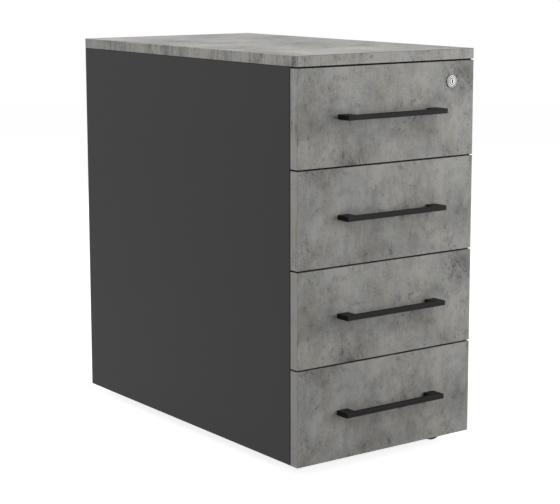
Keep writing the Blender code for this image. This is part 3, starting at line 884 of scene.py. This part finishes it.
class PEDESTAL_OT_carcass_boards(bpy.types.Operator):
    """Builds the top, sides, back and bottom of the cabinet"""

    bl_idname = "pedestal.carcass_boards"
    bl_label = "Carcass boards"

    def execute(self, context):
        settings = context.scene.pedestal_boards
        low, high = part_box("top_panel")
        centre = (low + high) / 2
        turn = (math.pi / 2, 0.0, 0.0)
        face = concrete_material("concrete_top", centre, (4.31, 2.17, 7.93), turn)
        spot = (11.7, 5.3, 3.9)
        # the rounds of the side edges get a painted highlight (1.2)
        band = band_material("concrete_top_band", spot, paleness=0.10, painted_edge_light=1.2)
        # the rounds of the front and back edges get painted shade (0.25), a dark line along them
        edge = band_material(
            "concrete_top_edge", spot, paleness=0.24, painted_edge_light=0.25, stripes=0.4
        )
        bm = banded(soft_block(low, high, settings.front_round), 2, 1)
        finished("top_board", bm, (face, band, edge), "carcass", "concrete_decor", "top_panel")
        for node in ("side_panel_left", "side_panel_right", "back_panel", "bottom_panel"):
            bm = soft_block(*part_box(node), settings.carcass_round)
            dressed(node.replace("panel", "board"), bm, "anthracite_melamine", "carcass", node)
        return {"FINISHED"}


class PEDESTAL_OT_drawer_fronts(bpy.types.Operator):
    """Builds the four banded fronts, the upper one bored for the lock"""

    bl_idname = "pedestal.drawer_fronts"
    bl_label = "Drawer fronts"

    def execute(self, context):
        settings = context.scene.pedestal_boards
        lock = context.scene.pedestal_lock
        spot = (2.9, 8.6, 6.7)
        # the rounds of the upright edges get painted shade (0.7)
        band = band_material("concrete_front_band", spot, paleness=0.42, painted_edge_light=0.7)
        # the top and bottom edges of the fronts are darkened as painted shade in the gaps between
        # them
        gap_shaded_lip = band_material("concrete_front_lip", spot, paleness=-0.62, painted_edge_light=0.7)
        drifts = ((1.13, 0.7, 2.2), (3.47, 1.9, 6.1)) * 2
        clearance = 0.0003
        for number, drift in zip(DRAWERS, drifts):
            node = f"drawer_front_{number}"
            low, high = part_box(node)
            face = concrete_material(f"concrete_front_{number}", (low + high) / 2, drift)
            bm = soft_block(low, high, settings.front_round)
            if number == 1:
                reach = lock.barrel / 2 + clearance
                before, behind = -0.01, 0.03
                hole = ((0.0, before), (reach, before), (reach, behind), (0.0, behind))
                bm = carved(bm, turned(hole, JOINTS["lock_turn"]["pos_m"], INWARD, 48))
            banded(bm, 1, 2)
            body = f"drawer_{number}"
            finished(f"front_{number}", bm, (face, band, gap_shaded_lip), body, "concrete_decor", node)
        return {"FINISHED"}


class PEDESTAL_OT_handles(bpy.types.Operator):
    """Builds the four bow handles"""

    bl_idname = "pedestal.handles"
    bl_label = "Handles"

    def execute(self, context):
        settings = context.scene.pedestal_handles
        for number in DRAWERS:
            node = f"handle_{number}"
            bm = self.bow(settings, *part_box(node))
            dressed(f"bow_handle_{number}", bm, "matt_powder", f"drawer_{number}", node)
        return {"FINISHED"}

    def bow(self, settings, low, high):
        """Two legs and a bar in one piece, seen from above and pushed up."""
        end = high.x
        leg = end - settings.leg
        tip = low.y
        bar = tip + settings.bar
        outline = (
            (-end, FRONT_Y),
            (-end, tip),
            (end, tip),
            (end, FRONT_Y),
            (leg, FRONT_Y),
            (leg, bar),
            (-leg, bar),
            (-leg, FRONT_Y),
        )
        bm = extruded([(x, y, low.z) for x, y in outline], (0.0, 0.0, high.z - low.z))
        self.round_uprights(bm, leg, bar, settings.fillet, 8)
        self.round_uprights(bm, end, tip, settings.corner, 4)
        rims = [
            edge
            for edge in bm.edges
            if abs(edge.verts[0].co.z - edge.verts[1].co.z) < TOUCH and is_corner(edge)
        ]
        rounded(bm, rims, settings.edge, 3)
        self.close_slivers(bm, settings.edge)
        return bm

    def close_slivers(self, bm, longest):
        """Collapses the short edges of faces that the rounding left without area."""
        smallest = 1e-8
        slivers = [face for face in bm.faces if face.calc_area() < smallest]
        short = [edge for face in slivers for edge in face.edges if edge.calc_length() < longest]
        bmesh.ops.collapse(bm, edges=short)

    def round_uprights(self, bm, x, y, radius, segments):
        """Rounds the upright edges at x, on both ends of the handle, and y."""
        uprights = [
            edge
            for edge in bm.edges
            if all(abs(abs(v.co.x) - x) < TOUCH and abs(v.co.y - y) < TOUCH for v in edge.verts)
        ]
        bevelled(bm, uprights, radius, segments)


class PEDESTAL_OT_lock(bpy.types.Operator):
    """Builds the lock's rosette and barrel, its plug with the keyway, and the cam"""

    bl_idname = "pedestal.lock"
    bl_label = "Lock"

    def execute(self, context):
        settings = context.scene.pedestal_lock
        spot = Vector(JOINTS["lock_turn"]["pos_m"])
        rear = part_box("lock_housing")[1].y - spot.y
        bm = turned(self.housing(settings, rear), spot, INWARD, 64)
        dressed("lock_rosette", bm, "nickel_plating", "drawer_1", "lock_housing")

        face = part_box("lock_plug")[0].y - spot.y
        width, height = settings.keyway_width / 2, settings.keyway_height / 2
        before, depth = 0.002, 0.009
        slot_low = spot + Vector((-width, face - before, -height))
        slot_high = spot + Vector((width, face + depth, height))
        slot = soft_block(slot_low, slot_high, 0.0003, 2)
        plug = turned(self.plug(settings.plug / 2, face, rear), spot, INWARD, 48, closed=False)
        dressed("lock_cylinder", carved(plug, slot), "nickel_plating", "lock_plug", "lock_plug")

        bm = softened("lock_cam", 0.0003)
        gap, sheet = 0.0003, 0.0025
        cam_rear = Vector((spot.x, spot.y + rear + gap + sheet, spot.z))
        joined(bm, screw(cam_rear, INWARD, diameter=0.0075, height=0.0017))
        dressed("cam_disc", bm, "zinc_plating", "lock_plug", "lock_cam")
        return {"FINISHED"}

    def housing(self, settings, rear):
        """Barrel and stepped rosette: (radius, distance behind the front's face)."""
        outer = settings.rosette / 2
        barrel = settings.barrel / 2
        play = 0.0002
        bore = settings.plug / 2 + play
        return (
            (bore, rear),
            (bore, -0.0020),
            (bore + 0.0004, -0.0026),
            (bore + 0.0016, -0.0027),
            (bore + 0.0021, -0.0022),
            (bore + 0.0026, -0.0020),
            (bore + 0.0031, -0.0023),
            (outer - 0.0019, -0.0028),
            (outer - 0.0011, -0.0027),
            (outer - 0.0004, -0.0021),
            (outer - 0.0001, -0.0013),
            (outer, 0.0),
            (barrel, 0.0),
            (barrel, rear),
        )

    def plug(self, radius, face, rear):
        """The plug with its rounded face: (radius, distance behind the front's face)."""
        return (
            (0.0, face),
            (radius - 0.0013, face),
            (radius - 0.0009, face + 0.0002),
            (radius - 0.0003, face + 0.0006),
            (radius, face + 0.0014),
            (radius, rear),
            (0.0, rear),
        )


LUG_Y = (-0.3112, -0.3072)  # the lug that the lock bar holds, from front to back
LUG_Z = (0.020, 0.035)  # its height over the tray's underside


class PEDESTAL_OT_trays(bpy.types.Operator):
    """Folds the four drawer trays"""

    bl_idname = "pedestal.trays"
    bl_label = "Drawer trays"

    def execute(self, context):
        settings = context.scene.pedestal_trays
        for number in DRAWERS:
            node = f"drawer_tray_{number}"
            low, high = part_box(node)
            lug_end = high.x
            high.x = -low.x
            bm = self.shell(settings, low, high)
            self.press_ribs(bm, settings, low, high)
            lug_low = (high.x - settings.sheet, LUG_Y[0], low.z + LUG_Z[0])
            lug_high = (lug_end, LUG_Y[1], low.z + LUG_Z[1])
            joined(bm, soft_block(lug_low, lug_high, 0.0006, 2))
            dressed(f"tray_{number}", bm, "stoved_enamel", f"drawer_{number}", node)
        return {"FINISHED"}

    def shell(self, settings, low, high):
        """Floor, walls, folded rim and the inside again, as one closed sheet."""
        bm = bmesh.new()
        centre = (low + high) / 2
        half = (high - low) / 2
        size = Matrix.Diagonal((2 * half.x, 2 * half.y, 1.0, 1.0))
        flat = Matrix.Translation((centre.x, centre.y, low.z)) @ size
        bmesh.ops.create_grid(bm, x_segments=1, y_segments=1, size=0.5, matrix=flat)
        bevelled(bm, bm.verts[:], settings.corner, 5, "VERTICES")
        loop = [edge for edge in bm.edges if edge.is_boundary]
        sheet = settings.sheet
        levels = (
            (0.0, high.z),
            (2 * sheet, high.z),
            (2 * sheet, high.z - settings.hem),
            (sheet, high.z - settings.hem - sheet),
            (sheet, low.z + sheet),
        )
        before = 0.0
        for inset, height in levels:
            made = bmesh.ops.extrude_edge_only(bm, edges=loop)["geom"]
            rim = [item for item in made if isinstance(item, bmesh.types.BMVert)]
            edges = [item for item in made if isinstance(item, bmesh.types.BMEdge)]
            loop = [edge for edge in edges if edge.is_boundary]
            shrink_x = (half.x - inset) / (half.x - before)
            shrink_y = (half.y - inset) / (half.y - before)
            space = Matrix.Translation(-centre)
            bmesh.ops.scale(bm, vec=(shrink_x, shrink_y, 1.0), space=space, verts=rim)
            bmesh.ops.translate(bm, verts=rim, vec=(0.0, 0.0, height - rim[0].co.z))
            before = inset
        bmesh.ops.edgeloop_fill(bm, edges=loop)
        bmesh.ops.recalc_face_normals(bm, faces=bm.faces)
        self.round_level(bm, high.z, sheet * 0.8, 3)
        self.round_level(bm, low.z, settings.fold, 4)
        self.round_level(bm, low.z + sheet, settings.fold - sheet / 2, 4)
        return bm

    def round_level(self, bm, height, radius, segments):
        """Rounds the corners that run round the tray at one height."""
        edges = [
            edge
            for edge in bm.edges
            if all(abs(v.co.z - height) < TOUCH for v in edge.verts) and is_corner(edge)
        ]
        rounded(bm, edges, radius, segments)

    def press_ribs(self, bm, settings, low, high):
        """Stiffening ribs along the floor, sunk a little into its sheet."""
        floor = low.z + settings.sheet
        margin, sunk, rise, crown = 0.06, 0.0006, 0.0012, 0.0010
        for i in range(settings.ribs):
            x = low.x + (high.x - low.x) * (i + 1) / (settings.ribs + 1)
            start = (x - settings.rib_width / 2, low.y + margin, floor - sunk)
            end = (x + settings.rib_width / 2, high.y - margin, floor + rise)
            rib = block(start, end)
            uprights = [e for e in rib.edges if abs(e.verts[0].co.z - e.verts[1].co.z) > 10 * TOUCH]
            rounded(rib, uprights, settings.rib_width * 0.45, 6)
            above = [edge for edge in rib.edges if all(v.co.z > floor for v in edge.verts)]
            rounded(rib, [edge for edge in above if is_corner(edge)], crown, 3)
            joined(bm, rib)


class PEDESTAL_OT_runners(bpy.types.Operator):
    """Rolls the runners' channels and the cages with their balls"""

    bl_idname = "pedestal.runners"
    bl_label = "Ball runners"

    def execute(self, context):
        settings = context.scene.pedestal_runners
        zinc = "zinc_plating"
        for number in DRAWERS:
            for side, sign in SIDES:
                label = f"{number}_{side}"
                node = f"cabinet_runner_{label}"
                bm = self.channel(settings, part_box(node), sign, settings.sheet)
                dressed(f"fixed_channel_{label}", bm, zinc, "carcass", node)
                node = f"drawer_runner_{label}"
                bm = self.channel(settings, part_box(node), -sign, settings.sheet)
                dressed(f"moving_channel_{label}", bm, zinc, f"drawer_{number}", node)
                node = f"ball_cage_{label}"
                bm = self.cage(settings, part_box(node), sign)
                dressed(f"caged_balls_{label}", bm, zinc, f"ball_cages_{number}", node)
        return {"FINISHED"}

    def channel(self, settings, box, sign, wall):
        """A bent C section; its web is on the side that sign gives."""
        low, high = box
        web, tip = (high.x, low.x) if sign > 0 else (low.x, high.x)
        inside = web - sign * wall
        outline = (
            (web, low.z),
            (tip, low.z),
            (tip, low.z + wall),
            (inside, low.z + wall),
            (inside, high.z - wall),
            (tip, high.z - wall),
            (tip, high.z),
            (web, high.z),
        )
        bm = extruded([(x, low.y, z) for x, z in outline], (0.0, high.y - low.y, 0.0))
        self.bend(bm, web, settings.bend, 5)
        self.bend(bm, inside, max(settings.bend - wall, 0.0004), 4)
        self.bend(bm, tip, wall * 0.3, 2)
        return bm

    def bend(self, bm, x, radius, segments):
        """Rounds the long edges at x."""
        shortest = 0.01
        edges = [
            edge
            for edge in bm.edges
            if abs(edge.verts[0].co.y - edge.verts[1].co.y) > shortest
            and all(abs(v.co.x - x) < TOUCH for v in edge.verts)
        ]
        rounded(bm, edges, radius, segments)

    def cage(self, settings, box, sign):
        """A strip bent round two rows of balls that stand proud of its flanges."""
        low, high = box
        inset = settings.ball / 2 - settings.cage_sheet / 2
        strip_low = Vector((low.x, low.y, low.z + inset))
        strip_high = Vector((high.x, high.y, high.z - inset))
        bm = self.channel(settings, (strip_low, strip_high), sign, settings.cage_sheet)
        radius = settings.ball / 2
        tip = low.x if sign > 0 else high.x
        clearance = 0.00015
        x = tip + sign * (radius + clearance)
        reach = high.y - low.y - 4 * radius
        for i in range(settings.balls):
            y = low.y + 2 * radius + reach * i / (settings.balls - 1)
            for z in (low.z + radius, high.z - radius):
                bmesh.ops.create_uvsphere(
                    bm,
                    u_segments=14,
                    v_segments=8,
                    radius=radius,
                    matrix=Matrix.Translation((x, y, z)),
                )
        return bm


class PEDESTAL_OT_lock_bar(bpy.types.Operator):
    """Makes the locking bar and its guides"""

    bl_idname = "pedestal.lock_bar"
    bl_label = "Locking bar"

    def execute(self, context):
        zinc = "zinc_plating"
        dressed("locking_strip", softened("lock_bar", 0.0003), zinc, "lock_bar", "lock_bar")
        for where in ("upper", "lower"):
            node = f"lock_bar_guide_{where}"
            bm = softened(node, 0.0002)
            low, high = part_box(node)
            sheet, inset = 0.001, 0.005
            spot = Vector((high.x - sheet, high.y - inset, (low.z + high.z) / 2))
            joined(bm, screw(spot, Vector((-1.0, 0.0, 0.0)), diameter=0.005, height=0.0011))
            dressed(f"strip_guide_{where}", bm, zinc, "carcass", node)
        return {"FINISHED"}


class PEDESTAL_OT_castors(bpy.types.Operator):
    """Builds the wheels, forks and screwed plates of the four castors"""

    bl_idname = "pedestal.castors"
    bl_label = "Castors"

    def execute(self, context):
        settings = context.scene.pedestal_castors
        head = context.scene.pedestal_fasteners.plate_head
        zinc = "zinc_plating"
        sheet = 0.002
        spread = (-0.016, 0.016)
        for castor in CASTORS:
            axle = JOINTS[f"castor_{castor}_roll"]
            bm = self.wheel(settings, axle["pos_m"], axle["axis"])
            node = f"castor_wheel_{castor}"
            dressed(f"wheel_{castor}", bm, "black_nylon", f"wheel_{castor}", node)

            node = f"castor_fork_{castor}"
            bm = softened(node, settings.edge)
            dressed(f"fork_{castor}", bm, zinc, f"castor_{castor}", node)

            node = f"castor_plate_{castor}"
            bm = softened(node, settings.edge)
            pivot = Vector(JOINTS[f"castor_{castor}_swivel"]["pos_m"])
            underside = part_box(node)[1].z - sheet
            for x in spread:
                for y in spread:
                    spot = Vector((pivot.x + x, pivot.y + y, underside))
                    joined(bm, screw(spot, DOWN, head, height=0.0013))
            dressed(f"plate_{castor}", bm, zinc, "carcass", node)
        return {"FINISHED"}

    def wheel(self, settings, centre, axis):
        """Tread, dished sides and hubs, from one turned profile that touches the floor."""
        radius = centre[2]
        edge = settings.width / 2
        hub = settings.hub / 2
        bore = settings.bore / 2
        half = (
            (radius, 0.0),
            (radius - 0.00005, edge * 0.45),
            (radius - 0.0005, edge * 0.72),
            (radius - 0.0014, edge * 0.90),
            (radius - 0.0030, edge),
            (radius - 0.0054, edge),
            (radius - 0.0060, edge - 0.0006),
            (radius - 0.0064, edge - 0.0028),
            (0.0078, edge - 0.0032),
            (0.0070, edge - 0.0026),
            (0.0066, hub - 0.0006),
            (0.0060, hub),
            (bore + 0.0004, hub),
            (bore, hub - 0.0004),
        )
        profile = half + tuple((r, -along) for r, along in reversed(half[1:]))
        return turned(profile, centre, axis, 72)


def screw(spot, direction, diameter, height):
    """A pan head with a cross recess, its seat at spot and its crown along direction."""
    radius = diameter / 2
    profile = (
        (0.0, height),
        (radius * 0.45, height * 0.96),
        (radius * 0.78, height * 0.78),
        (radius * 0.95, height * 0.42),
        (radius, height * 0.10),
        (radius, -0.0002),
        (0.0, -0.0002),
    )
    head = turned(profile, (0.0, 0.0, 0.0), (0.0, 0.0, 1.0), 24, closed=False)
    arm, half, depth = radius * 0.62, radius * 0.13, height * 0.55
    for x, y in ((arm, half), (half, arm)):
        head = carved(head, block((-x, -y, height - depth), (x, y, height * 2)))
    turn = Vector(direction).to_track_quat("Z", "Y").to_matrix().to_4x4()
    bmesh.ops.transform(head, matrix=Matrix.Translation(spot) @ turn, verts=head.verts)
    return head


class PEDESTAL_OT_fasteners(bpy.types.Operator):
    """Sets the handle and tray screws, the bumpers behind the fronts and the strips over them,
    near-black as painted shade in the gaps
    """

    bl_idname = "pedestal.fasteners"
    bl_label = "Screws, bumpers and seals"

    def execute(self, context):
        settings = context.scene.pedestal_fasteners
        handles = context.scene.pedestal_handles
        sheet = context.scene.pedestal_trays.sheet
        for number in DRAWERS:
            tray_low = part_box(f"drawer_tray_{number}")[0]
            bow_low, bow_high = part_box(f"handle_{number}")
            runner_low, runner_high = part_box(f"drawer_runner_{number}_left")
            bm = bmesh.new()
            for sign in (-1, 1):
                x = sign * (bow_high.x - handles.leg / 2)
                spot = Vector((x, tray_low.y + sheet, (bow_low.z + bow_high.z) / 2))
                joined(bm, screw(spot, INWARD, settings.handle_head, height=0.0022))
                wall = sign * (-tray_low.x - sheet)
                for y in (-0.25, 0.0, 0.25):
                    spot = Vector((wall, y, (runner_low.z + runner_high.z) / 2))
                    towards = Vector((-sign, 0.0, 0.0))
                    joined(bm, screw(spot, towards, settings.tray_head, height=0.0016))
            dressed(f"tray_screws_{number}", bm, "zinc_plating", f"drawer_{number}")
            self.bumpers(settings, number)
            self.seal(settings, number)
        return {"FINISHED"}

    def bumpers(self, settings, number):
        """A flat dome near each corner of a front's back."""
        low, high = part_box(f"drawer_front_{number}")
        radius = settings.bumper / 2
        profile = (
            (0.0, 0.0012),
            (radius * 0.6, 0.0011),
            (radius * 0.9, 0.0008),
            (radius, 0.0003),
            (radius, 0.0),
            (0.0, 0.0),
        )
        bm = bmesh.new()
        aside, inset = 0.192, 0.014
        for x in (-aside, aside):
            for z in (low.z + inset, high.z - inset):
                joined(bm, turned(profile, (x, high.y, z), INWARD, 24, closed=False))
        dressed(f"bumpers_{number}", bm, "bumper_rubber", f"drawer_{number}")

    def seal(self, settings, number):
        """A strip let into the top edge of a front, which closes the gap over it to view; its
        near-black is painted shade in the gap.
        """
        low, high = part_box(f"drawer_front_{number}")
        end, sunk, behind, depth = 0.001, 0.001, 0.006, 0.0025
        start = (low.x + end, low.y + behind, high.z - sunk)
        stop = (high.x - end, low.y + behind + depth, high.z + settings.seal)
        bm = soft_block(start, stop, 0.0004, 2)
        dressed(f"gap_seal_{number}", bm, "seal_rubber", f"drawer_{number}")


SETTINGS = (
    ("pedestal_stage", StageSettings),
    ("pedestal_boards", BoardSettings),
    ("pedestal_handles", HandleSettings),
    ("pedestal_lock", LockSettings),
    ("pedestal_trays", TraySettings),
    ("pedestal_runners", RunnerSettings),
    ("pedestal_castors", CastorSettings),
    ("pedestal_fasteners", FastenerSettings),
)
OPERATORS = (
    PEDESTAL_OT_stage,
    PEDESTAL_OT_carcass_boards,
    PEDESTAL_OT_drawer_fronts,
    PEDESTAL_OT_handles,
    PEDESTAL_OT_lock,
    PEDESTAL_OT_trays,
    PEDESTAL_OT_runners,
    PEDESTAL_OT_lock_bar,
    PEDESTAL_OT_castors,
    PEDESTAL_OT_fasteners,
)


class PEDESTAL_PT_pieces(bpy.types.Panel):
    """Lists the cabinet's pieces and their settings"""

    bl_idname = "PEDESTAL_PT_pieces"
    bl_label = "Rolling pedestal"
    bl_space_type = "VIEW_3D"
    bl_region_type = "UI"
    bl_category = "Pedestal"

    def draw(self, context):
        for operator in OPERATORS:
            self.layout.operator(operator.bl_idname)
        for name, kind in SETTINGS:
            box = self.layout.box()
            for field in kind.__annotations__:
                box.prop(getattr(context.scene, name), field)


def register():
    for name, kind in SETTINGS:
        bpy.utils.register_class(kind)
        setattr(bpy.types.Scene, name, PointerProperty(type=kind))
    for operator in OPERATORS:
        bpy.utils.register_class(operator)
    bpy.utils.register_class(PEDESTAL_PT_pieces)


def unregister():
    bpy.utils.unregister_class(PEDESTAL_PT_pieces)
    for operator in reversed(OPERATORS):
        bpy.utils.unregister_class(operator)
    for name, kind in reversed(SETTINGS):
        delattr(bpy.types.Scene, name)
        bpy.utils.unregister_class(kind)


def main():
    register()
    bpy.ops.pedestal.stage()
    bpy.ops.pedestal.carcass_boards()
    bpy.ops.pedestal.drawer_fronts()
    bpy.ops.pedestal.handles()
    bpy.ops.pedestal.lock()
    bpy.ops.pedestal.trays()
    bpy.ops.pedestal.runners()
    bpy.ops.pedestal.lock_bar()
    bpy.ops.pedestal.castors()
    bpy.ops.pedestal.fasteners()


if __name__ == "__main__":
    main()
